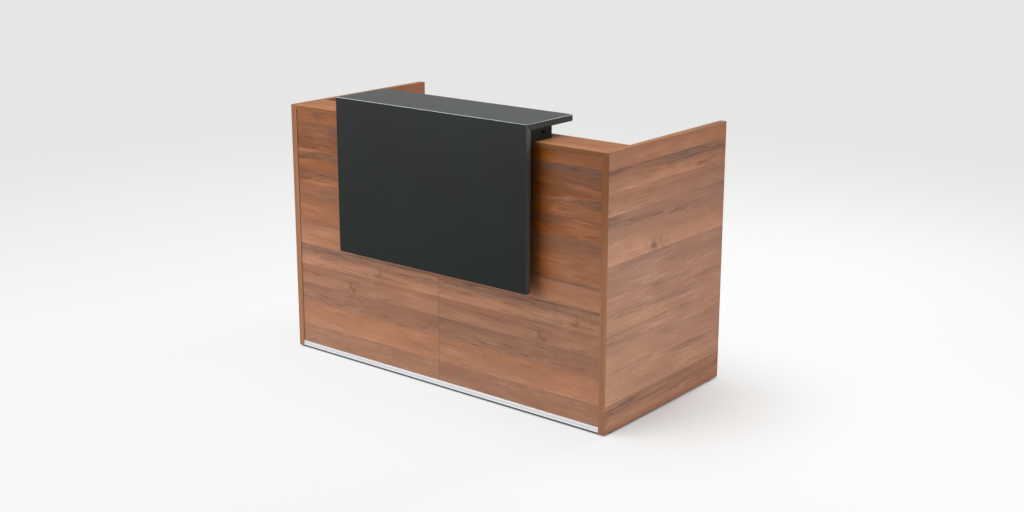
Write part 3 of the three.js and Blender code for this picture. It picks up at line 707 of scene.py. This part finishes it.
def moulded_plastic(name):
    finish = Finish(name)
    spark = finish.noise(finish.x * 1300.0, finish.y * 1300.0, finish.z * 1300.0, 2.0)
    scuff = finish.noise(finish.x * 60.0, finish.y * 60.0, finish.z * 60.0, 3.0)
    dark, light = srgb(24, 24, 25), srgb(38, 38, 40)
    finish.set("Base Color", finish.mix(finish.step(scuff, 0.35, 0.75), dark, light))
    finish.set("Roughness", 0.48 + 0.18 * spark)
    finish.bump(spark, 0.15, 0.0002)
    return finish.material


aluminium = brushed_aluminium("aluminium")
steel = plated_steel("steel")
black_plastic = moulded_plastic("black_plastic")
print("fittings:", aluminium.name, steel.name, black_plastic.name)

# %% [markdown]
# ## Boards with eased edges
# No board leaves a workshop with knife edges: an arris is broken with a pass of the sanding block. The
# packed board is a fan of loose triangles, so a copy is welded, its flat faces are joined up again, and
# every corner is rounded by a millimetre or less. The copy then stands for the board it came from.

# %% Helpers that ease a board and put a piece in place
def show(name, mesh, materials, node, stands_for=True):
    """Puts a finished mesh on the body that carries a node."""
    for material in materials:
        mesh.materials.append(material)
    piece = bpy.data.objects.new(name, mesh)
    bpy.context.scene.collection.objects.link(piece)
    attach(piece, body_of[node])
    if stands_for:
        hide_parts(node)
    return piece


def sharp_edges(shape, degrees):
    bend = math.radians(degrees)
    return [edge for edge in shape.edges if edge.is_manifold and edge.calc_face_angle() > bend]


def welded(node):
    """A node's own shape as one skin with its flat faces joined."""
    shape = bmesh.new()
    shape.from_mesh(frame["nodes"][node].data)
    bmesh.ops.remove_doubles(shape, verts=shape.verts, dist=0.00002)
    flat = math.radians(1.0)
    bmesh.ops.dissolve_limit(shape, angle_limit=flat, verts=shape.verts, edges=shape.edges)
    return shape


def ease(shape, radius, segments=2):
    """Rounds every sharp edge and shades only the rounded strips smooth."""
    eased = bmesh.ops.bevel(
        shape,
        geom=sharp_edges(shape, 25.0),
        offset=radius,
        segments=segments,
        profile=0.5,
        affect="EDGES",
        clamp_overlap=True,
    )
    for face in shape.faces:
        face.smooth = False
    for face in eased["faces"]:
        face.smooth = True


def eased_board(node, radius, material):
    shape = welded(node)
    ease(shape, radius)
    mesh = bpy.data.meshes.new(node)
    shape.to_mesh(mesh)
    shape.free()
    return show(node + "_board", mesh, [material], node)


print("board helpers ready")

# %% Ease the walnut boards
WALNUT_ARRIS = 0.0004
sides = ("left", "right")
walnut_boards = []
for side in sides:
    walnut_boards.append(eased_board("side_panel_" + side, WALNUT_ARRIS, side_walnut))
    walnut_boards.append(eased_board("upper_front_panel_" + side, WALNUT_ARRIS, front_walnut))
    walnut_boards.append(eased_board("lower_front_panel_" + side, WALNUT_ARRIS, front_walnut))
walnut_boards.append(eased_board("inner_panel_lower", WALNUT_ARRIS, front_walnut))
walnut_boards.append(eased_board("inner_panel_upper", WALNUT_ARRIS, front_walnut))
walnut_boards.append(eased_board("centre_upright", WALNUT_ARRIS, side_walnut))
walnut_boards.append(eased_board("wall_cap", WALNUT_ARRIS, flat_walnut))
walnut_boards.append(eased_board("worktop", WALNUT_ARRIS, flat_walnut))
print(len(walnut_boards), "walnut boards")

# %% Ease the edge bands
BAND_ARRIS = 0.0009
bands = []
for side in sides:
    bands.append(eased_board("side_edge_band_" + side, BAND_ARRIS, upright_band))
for node in ("wall_cap_front_band", "wall_cap_rear_band", "worktop_rear_band"):
    bands.append(eased_board(node, BAND_ARRIS, level_band))
print(len(bands), "edge bands")

# %% [markdown]
# The counter's two boards meet in a mitre, and their upper arris is rounder than the rest. The rounded
# strips that look upwards take a painted highlight, nearly white along the front and grey on the ends.
# The ends are closed with a thin strip of their own, a little lighter than the laminate; the decor panel's
# strip is painted lighter still, a painted light on its end. All other faces stay dark.

# %% Ease the counter
COUNTER_ARRIS = 0.0026
FRAME_ARRIS = 0.0008


def counter_board(node, radius, face_finish, end_finish):
    shape = welded(node)
    ease(shape, radius, 3)
    for face in shape.faces:
        # upward-facing rounded strips get the painted highlight finishes
        sideways = abs(face.normal.x) > 0.25
        if face.smooth and 0.25 < face.normal.z < 0.97:
            face.material_index = 3 if sideways else 1
        elif sideways:
            face.material_index = 2
    mesh = bpy.data.meshes.new(node)
    shape.to_mesh(mesh)
    shape.free()
    return show(node + "_board", mesh, [face_finish, worn_arris, end_finish, end_arris], node)


counter = [
    counter_board("decor_panel", COUNTER_ARRIS, anthracite, decor_band),
    counter_board("counter_shelf", COUNTER_ARRIS, shelf_laminate, shelf_band),
]
for part in ("front_rail", "rear_rail", "end_left", "end_right", "middle"):
    counter.append(eased_board("counter_frame_" + part, FRAME_ARRIS, frame_laminate))
print(len(counter), "counter boards")

# %% [markdown]
# ## Metalwork
# The plinth channel is an extrusion with crisp but broken edges. The cleats, braces and brackets are
# folded steel: their edges are rounder, because sheet is tumbled after it is cut.

# %% Ease the metalwork
PLINTH_ARRIS = 0.0005
SHEET_ARRIS = 0.0006
metalwork = [eased_board("plinth_profile", PLINTH_ARRIS, aluminium)]
for side in sides:
    for part in ("plinth_clip_", "worktop_cleat_", "shelf_brace_", "knee_bracket_"):
        metalwork.append(eased_board(part + side, SHEET_ARRIS, steel))
metalwork.append(eased_board("worktop_stiffener", SHEET_ARRIS, steel))
print(len(metalwork), "pieces of metalwork")

# %% [markdown]
# ## Turned fittings
# Stand-offs, bolts, sleeves, pads and grommet rings are all turned: one outline spun round an axis. In
# the imported model their circles are coarse, so all but the grommet rings are spun again here with many
# sides from the sizes of their nodes, and their corners are rounded.

# %% A helper that turns a fitting
ROUND_SIDES = 72


def spun(outline, closed, hexagon=()):
    """Spins an outline of (radius, height) points round the Z axis; some rings may be hexagons."""
    shape = bmesh.new()
    rings = []
    for index, (size, height) in enumerate(outline):
        ring = []
        for turn in range(ROUND_SIDES):
            angle = 2.0 * math.pi * turn / ROUND_SIDES
            radius = size
            if index in hexagon:
                radius = size / math.cos((angle + math.pi / 6.0) % (math.pi / 3.0) - math.pi / 6.0)
            ring.append(shape.verts.new((radius * math.cos(angle), radius * math.sin(angle), height)))
        rings.append(ring)
    if closed:
        rings.append(rings[0])
    for lower, upper in zip(rings, rings[1:]):
        for turn in range(ROUND_SIDES):
            after = (turn + 1) % ROUND_SIDES
            shape.faces.new((lower[turn], lower[after], upper[after], upper[turn]))
    bmesh.ops.remove_doubles(shape, verts=shape.verts, dist=0.000002)
    bmesh.ops.recalc_face_normals(shape, faces=shape.faces)
    return shape


def round_mesh(shape, name, radius, place, turn=None):
    """Rounds a turned shape's corners, puts it in place and makes it a mesh."""
    bmesh.ops.bevel(
        shape,
        geom=sharp_edges(shape, 30.0),
        offset=radius,
        segments=3,
        profile=0.5,
        affect="EDGES",
        clamp_overlap=True,
    )
    bmesh.ops.dissolve_degenerate(shape, dist=0.000002, edges=shape.edges)
    for face in shape.faces:
        face.smooth = True
    if turn is not None:
        bmesh.ops.transform(shape, matrix=turn, verts=shape.verts)
    bmesh.ops.translate(shape, vec=place, verts=shape.verts)
    mesh = bpy.data.meshes.new(name)
    shape.to_mesh(mesh)
    shape.free()
    mesh.set_sharp_from_angle(angle=math.radians(35.0))
    return mesh


def middle_of(node):
    low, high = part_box(node)
    return (low + high) / 2.0, high - low


print("turning with", ROUND_SIDES, "sides")

# %% Turn the levellers' pads and sleeves
PAD_SOLE = 0.0017
STUD_FOOT = 0.0053
SLEEVE_FLANGE = 0.0012
SLEEVE_BORE = 0.0042
SLEEVE_BODY = 0.0070
feet = ("front_left", "front_right", "rear_left", "rear_right", "centre")
for foot in feet:
    pad = "leveller_pad_" + foot
    middle, size = middle_of(pad)
    edge = size.x / 2.0
    outline = [
        (0.0, 0.0),
        (edge, 0.0),
        (edge, size.z),
        (STUD_FOOT, size.z),
        (STUD_FOOT, PAD_SOLE),
        (0.0, PAD_SOLE),
    ]
    place = Vector((middle.x, middle.y, middle.z - size.z / 2.0))
    show(pad + "_moulding", round_mesh(spun(outline, False), pad, 0.0006, place), [black_plastic], pad)
    sleeve = "leveller_sleeve_" + foot
    middle, size = middle_of(sleeve)
    edge = size.x / 2.0
    outline = [
        (SLEEVE_BORE, 0.0),
        (edge, 0.0),
        (edge, SLEEVE_FLANGE),
        (SLEEVE_BODY, SLEEVE_FLANGE),
        (SLEEVE_BODY, size.z),
        (SLEEVE_BORE, size.z),
    ]
    place = Vector((middle.x, middle.y, middle.z - size.z / 2.0))
    show(sleeve + "_turning", round_mesh(spun(outline, True), sleeve, 0.0002, place), [steel], sleeve)
print(len(feet), "pads and sleeves")

# %% [markdown]
# ## Threaded studs
# Each leveller stud has an M8 thread, so that turning it lifts its corner of the desk. A thread is a
# ridge that follows a helix, which Geometry Nodes draw directly: a spiral curve, swept with a small
# round, on top of a plain core. The tree's inputs are the stud's sizes.

# %% Grow the studs with Geometry Nodes
PITCH = 0.00125
STUD_CORE = 0.0033
THREAD_RIDGE = 0.00055


def tree_with(name, inputs):
    """An empty Geometry Nodes tree with named inputs, and the wires that come from them."""
    group = bpy.data.node_groups.new(name, "GeometryNodeTree")
    group.interface.new_socket("Geometry", in_out="OUTPUT", socket_type="NodeSocketGeometry")
    group.interface.new_socket("Geometry", in_out="INPUT", socket_type="NodeSocketGeometry")
    for label, kind in inputs:
        group.interface.new_socket(label, in_out="INPUT", socket_type=kind)
    tree = Tree(group)
    start = group.nodes.new("NodeGroupInput")
    return tree, {socket.name: Wire(tree, socket) for socket in start.outputs if socket.name}


def grow(name, group, holder_mesh, values):
    """Runs a tree on a mesh once and returns the result as a plain mesh."""
    holder = bpy.data.objects.new(name, holder_mesh)
    bpy.context.scene.collection.objects.link(holder)
    modifier = holder.modifiers.new(name, "NODES")
    modifier.node_group = group
    for item in group.interface.items_tree:
        if item.in_out == "INPUT" and item.name in values:
            modifier[item.identifier] = values[item.name]
    graph = bpy.context.evaluated_depsgraph_get()
    grown = bpy.data.meshes.new_from_object(holder.evaluated_get(graph))
    bpy.data.objects.remove(holder)
    grown.name = name
    return grown


def finish_tree(tree, geometry, material):
    """Realizes the instances, sets the material and ends the tree."""
    real = tree.node("GeometryNodeRealizeInstances", {}, {0: geometry})
    painted = tree.node("GeometryNodeSetMaterial", {}, {"Geometry": real, "Material": material})
    end = tree.nodes.nodes.new("NodeGroupOutput")
    tree.nodes.links.new(painted.socket, end.inputs[0])


def stud_tree():
    sizes = [
        ("Length", "NodeSocketFloat"),
        ("Core", "NodeSocketFloat"),
        ("Pitch", "NodeSocketFloat"),
        ("Ridge", "NodeSocketFloat"),
        ("Foot", "NodeSocketVector"),
        ("Finish", "NodeSocketMaterial"),
    ]
    tree, given = tree_with("threaded_stud", sizes)
    length = given["Length"]
    ridge = given["Ridge"]
    threaded = length - ridge * 4.0
    core_sockets = {"Vertices": 32, "Radius": given["Core"], "Depth": length}
    core = tree.node("GeometryNodeMeshCylinder", {"fill_type": "NGON"}, core_sockets)
    lift = tree.node("ShaderNodeCombineXYZ", {}, {2: length / 2.0})
    core = tree.node("GeometryNodeTransform", {}, {"Geometry": core, "Translation": lift})
    helix_sockets = {
        "Resolution": 24,
        "Rotations": threaded / given["Pitch"],
        "Start Radius": given["Core"],
        "End Radius": given["Core"],
        "Height": threaded,
    }
    helix = tree.node("GeometryNodeCurveSpiral", {}, helix_sockets)
    bead = tree.node("GeometryNodeCurvePrimitiveCircle", {}, {"Resolution": 8, "Radius": ridge})
    thread_sockets = {"Curve": helix, "Profile Curve": bead, "Fill Caps": True}
    thread = tree.node("GeometryNodeCurveToMesh", {}, thread_sockets)
    rise = tree.node("ShaderNodeCombineXYZ", {}, {2: ridge * 2.0})
    thread = tree.node("GeometryNodeTransform", {}, {"Geometry": thread, "Translation": rise})
    joined = tree.node("GeometryNodeJoinGeometry", {}, {0: core})
    tree.nodes.links.new(thread.socket, joined.socket.node.inputs[0])
    placed = tree.node("GeometryNodeTransform", {}, {"Geometry": joined, "Translation": given["Foot"]})
    finish_tree(tree, placed, given["Finish"])
    return tree.nodes


stud_nodes = stud_tree()
for foot in feet:
    stud = "leveller_stud_" + foot
    middle, size = middle_of(stud)
    values = {
        "Length": size.z,
        "Core": STUD_CORE,
        "Pitch": PITCH,
        "Ridge": THREAD_RIDGE,
        "Foot": (middle.x, middle.y, middle.z - size.z / 2.0),
        "Finish": steel,
    }
    mesh = grow(stud, stud_nodes, bpy.data.meshes.new(stud + "_seed"), values)
    show(stud + "_thread", mesh, [], stud)
print(len(feet), "threaded studs of", len(mesh.polygons), "faces")

# %% [markdown]
# ## Stand-offs and bolts
# The dark panel hangs on four round stand-offs. Each is a tube of aluminium with a bolt through it. They
# lie along Y, so the turned shape is tipped over before it is put in place.

# %% Turn the stand-offs and bolts
STANDOFF_BORE = 0.0033
BOLT_SHANK = 0.0030
BOLT_HEAD = 0.0055
BOLT_HEAD_HEIGHT = 0.0040
BOLT_SOCKET = 0.0025
BOLT_SOCKET_DEPTH = 0.0025
tip = Matrix.Rotation(math.radians(-90.0), 4, "X")
for level in ("low", "high"):
    for side in sides:
        tube = "decor_standoff_" + level + "_" + side
        middle, size = middle_of(tube)
        outer = size.x / 2.0
        half = size.y / 2.0
        outline = [(STANDOFF_BORE, -half), (outer, -half), (outer, half), (STANDOFF_BORE, half)]
        mesh = round_mesh(spun(outline, True), tube, 0.0005, middle, tip)
        show(tube + "_tube", mesh, [aluminium], tube)
        bolt = "decor_bolt_" + level + "_" + side
        middle, size = middle_of(bolt)
        half = size.y / 2.0
        neck = half - BOLT_HEAD_HEIGHT
        floor_of_socket = half - BOLT_SOCKET_DEPTH
        outline = [
            (0.0, -half),
            (BOLT_SHANK, -half),
            (BOLT_SHANK, neck),
            (BOLT_HEAD, neck),
            (BOLT_HEAD, half),
            (BOLT_SOCKET, half),
            (BOLT_SOCKET, floor_of_socket),
            (0.0, floor_of_socket),
        ]
        mesh = round_mesh(spun(outline, False, (5, 6)), bolt, 0.0003, middle, tip)
        show(bolt + "_turning", mesh, [steel], bolt)
print("4 stand-offs with their bolts")

# %% [markdown]
# ## Cable grommets
# Two plastic rings line the cable holes in the worktop. Each has a lid that turns, with a notch for the
# cables. The ring keeps the model's own shape, shaded smooth; the lid is cut from its outline, so that the
# notch keeps its round end.

# %% Mould the grommets
NOTCH_WIDTH = 0.022
NOTCH_DEPTH = 0.018
LID_ARC = 72
NOTCH_ARC = 18


def lid_outline(radius):
    """The lid's outline: most of a circle, then in along the notch, round its end and out again."""
    half = NOTCH_WIDTH / 2.0
    mouth = math.asin(half / radius)
    notch_end = radius - NOTCH_DEPTH + half
    points = []
    start = math.pi / 2.0 + mouth
    sweep = 2.0 * math.pi - 2.0 * mouth
    for step in range(LID_ARC + 1):
        angle = start + sweep * step / LID_ARC
        points.append((radius * math.cos(angle), radius * math.sin(angle)))
    for step in range(NOTCH_ARC + 1):
        angle = -math.pi * step / NOTCH_ARC
        points.append((half * math.cos(angle), notch_end + half * math.sin(angle)))
    return points


for side in sides:
    ring = "grommet_ring_" + side
    lid = "grommet_lid_" + side
    shape = welded(ring)
    mesh = bpy.data.meshes.new(ring)
    shape.to_mesh(mesh)
    shape.free()
    for polygon in mesh.polygons:
        polygon.use_smooth = True
    mesh.set_sharp_from_angle(angle=math.radians(35.0))
    show(ring + "_moulding", mesh, [black_plastic], ring)
    low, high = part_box(lid)
    radius = (high.x - low.x) / 2.0
    centre = Vector(((low.x + high.x) / 2.0, low.y + radius, low.z))
    shape = bmesh.new()
    corners = [shape.verts.new((x, y, 0.0)) for x, y in lid_outline(radius)]
    sole = shape.faces.new(corners)
    raised = bmesh.ops.extrude_face_region(shape, geom=[sole])
    lifted = [item for item in raised["geom"] if isinstance(item, bmesh.types.BMVert)]
    bmesh.ops.translate(shape, vec=(0.0, 0.0, high.z - low.z), verts=lifted)
    bmesh.ops.recalc_face_normals(shape, faces=shape.faces)
    mesh = round_mesh(shape, lid, 0.0005, centre)
    show(lid + "_moulding", mesh, [black_plastic], lid)
print("2 grommets with lids of radius", round(radius, 4), "m")

# %% [markdown]
# ## Screws
# The steel angles are held with pan-head screws with a cross recess. One screw is modelled by nodes: a
# flattened ball, less the half that would lie in the steel, less two crossed slots. One slot is cut a
# hair shallower, because two cuts that share a floor leave a torn face. The same tree puts a copy on
# each point that it is given and turns it along that point's own axis, so that all of the screws are
# one mesh. The points are worked out from the boxes of the pieces that the screws hold.

# %% Find the places of the screws
CLEAT_SHEET = 0.0030
BRACKET_SHEET = 0.0025
CLIP_SHEET = 0.0020
LEG_SHARE = 0.45
screw_places = []


def screw_row(start, end, number, axis):
    """Places screws at even steps between two points, half a step in from each end."""
    for step in range(number):
        share = (step + 0.5) / number
        screw_places.append((Vector(start).lerp(Vector(end), share), axis))


for side, sign in (("left", -1.0), ("right", 1.0)):
    inward = (-sign, 0.0, 0.0)
    down = (0.0, 0.0, -1.0)
    backward = (0.0, 1.0, 0.0)
    low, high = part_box("worktop_cleat_" + side)
    wall = sign * max(abs(low.x), abs(high.x))
    face = wall - sign * CLEAT_SHEET
    leg_z = low.z + (high.z - low.z) * LEG_SHARE
    leg_x = wall - sign * (high.x - low.x) * (1.0 - LEG_SHARE)
    under = high.z - CLEAT_SHEET
    screw_row((face, low.y, leg_z), (face, high.y, leg_z), 4, inward)
    screw_row((leg_x, low.y, under), (leg_x, high.y, under), 4, down)
    low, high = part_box("knee_bracket_" + side)
    wall = sign * max(abs(low.x), abs(high.x))
    face = wall - sign * BRACKET_SHEET
    leg_y = high.y - (high.y - low.y) * LEG_SHARE
    leg_x = wall - sign * (high.x - low.x) * (1.0 - LEG_SHARE)
    front = low.y + BRACKET_SHEET
    screw_row((face, leg_y, low.z), (face, leg_y, high.z), 2, inward)
    screw_row((leg_x, front, low.z), (leg_x, front, high.z), 2, backward)
    low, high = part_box("shelf_brace_" + side)
    leg_z = low.z + (high.z - low.z) * LEG_SHARE
    leg_y = high.y - (high.y - low.y) * LEG_SHARE
    under = high.z - BRACKET_SHEET
    front = low.y + BRACKET_SHEET
    screw_row((low.x, front, leg_z), (high.x, front, leg_z), 2, backward)
    screw_row((low.x, leg_y, under), (high.x, leg_y, under), 2, down)
    low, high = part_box("plinth_clip_" + side)
    face = sign * (max(abs(low.x), abs(high.x)) - CLIP_SHEET)
    leg_z = low.z + (high.z - low.z) * LEG_SHARE
    screw_row((face, low.y, leg_z), (face, high.y, leg_z), 1, inward)
low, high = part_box("worktop_stiffener")
keel = (low.y + high.y) / 2.0
screw_row((low.x, keel, low.z), (high.x, keel, low.z), 5, down)
print(len(screw_places), "screws to place")

# %% Grow the screws with Geometry Nodes
SCREW_HEAD = 0.0037
SCREW_DOME = 0.0020
RECESS_LENGTH = 0.0042
RECESS_WIDTH = 0.0009
RECESS_DEPTH = 0.0013
RECESS_STEP = 0.0001


def screw_tree():
    sizes = [
        ("Head", "NodeSocketFloat"),
        ("Dome", "NodeSocketFloat"),
        ("Recess", "NodeSocketVector"),
        ("Finish", "NodeSocketMaterial"),
    ]
    tree, given = tree_with("cross_head_screw", sizes)
    head = given["Head"]
    dome = given["Dome"]
    ball = tree.node("GeometryNodeMeshUVSphere", {}, {"Segments": 24, "Rings": 12, "Radius": 1.0})
    squash = tree.node("ShaderNodeCombineXYZ", {}, {0: head, 1: head, 2: dome})
    ball = tree.node("GeometryNodeTransform", {}, {"Geometry": ball, "Scale": squash})
    block_size = tree.node("ShaderNodeCombineXYZ", {}, {0: head * 4.0, 1: head * 4.0, 2: dome * 2.0})
    block = tree.node("GeometryNodeMeshCube", {}, {"Size": block_size})
    sink = tree.node("ShaderNodeCombineXYZ", {}, {2: dome * -1.0})
    block = tree.node("GeometryNodeTransform", {}, {"Geometry": block, "Translation": sink})
    lift = tree.node("ShaderNodeCombineXYZ", {}, {2: dome})
    slot = tree.node("GeometryNodeMeshCube", {}, {"Size": given["Recess"]})
    slot = tree.node("GeometryNodeTransform", {}, {"Geometry": slot, "Translation": lift})
    quarter = (0.0, 0.0, math.pi / 2.0)
    shallower = (0.0, 0.0, RECESS_STEP)
    crossed_sockets = {"Geometry": slot, "Translation": shallower, "Rotation": quarter}
    crossed = tree.node("GeometryNodeTransform", {}, crossed_sockets)
    shaped = tree.node("GeometryNodeMeshBoolean", {"operation": "DIFFERENCE"}, {0: ball, 1: block})
    for cutter in (slot, crossed):
        tree.nodes.links.new(cutter.socket, shaped.socket.node.inputs[1])
    named = {"data_type": "FLOAT_VECTOR"}
    axis = tree.node("GeometryNodeInputNamedAttribute", named, {"Name": "axis"})
    facing = tree.node("FunctionNodeAlignRotationToVector", {"axis": "Z"}, {"Vector": axis})
    copies_sockets = {"Points": given["Geometry"], "Instance": shaped, "Rotation": facing}
    copies = tree.node("GeometryNodeInstanceOnPoints", {}, copies_sockets)
    finish_tree(tree, copies, given["Finish"])
    return tree.nodes


seed = bpy.data.meshes.new("screw_seed")
seed.from_pydata([place for place, axis in screw_places], [], [])
axes = seed.attributes.new("axis", "FLOAT_VECTOR", "POINT")
for index, (place, axis) in enumerate(screw_places):
    axes.data[index].vector = axis
values = {
    "Head": SCREW_HEAD,
    "Dome": SCREW_DOME,
    "Recess": (RECESS_LENGTH, RECESS_WIDTH, RECESS_DEPTH * 2.0),
    "Finish": steel,
}
screws = grow("steel_screws", screw_tree(), seed, values)
for polygon in screws.polygons:
    polygon.use_smooth = True
screws.set_sharp_from_angle(angle=math.radians(35.0))
show("steel_screws", screws, [], "worktop_stiffener", stands_for=False)
print(len(screw_places), "screws in", len(screws.polygons), "faces")
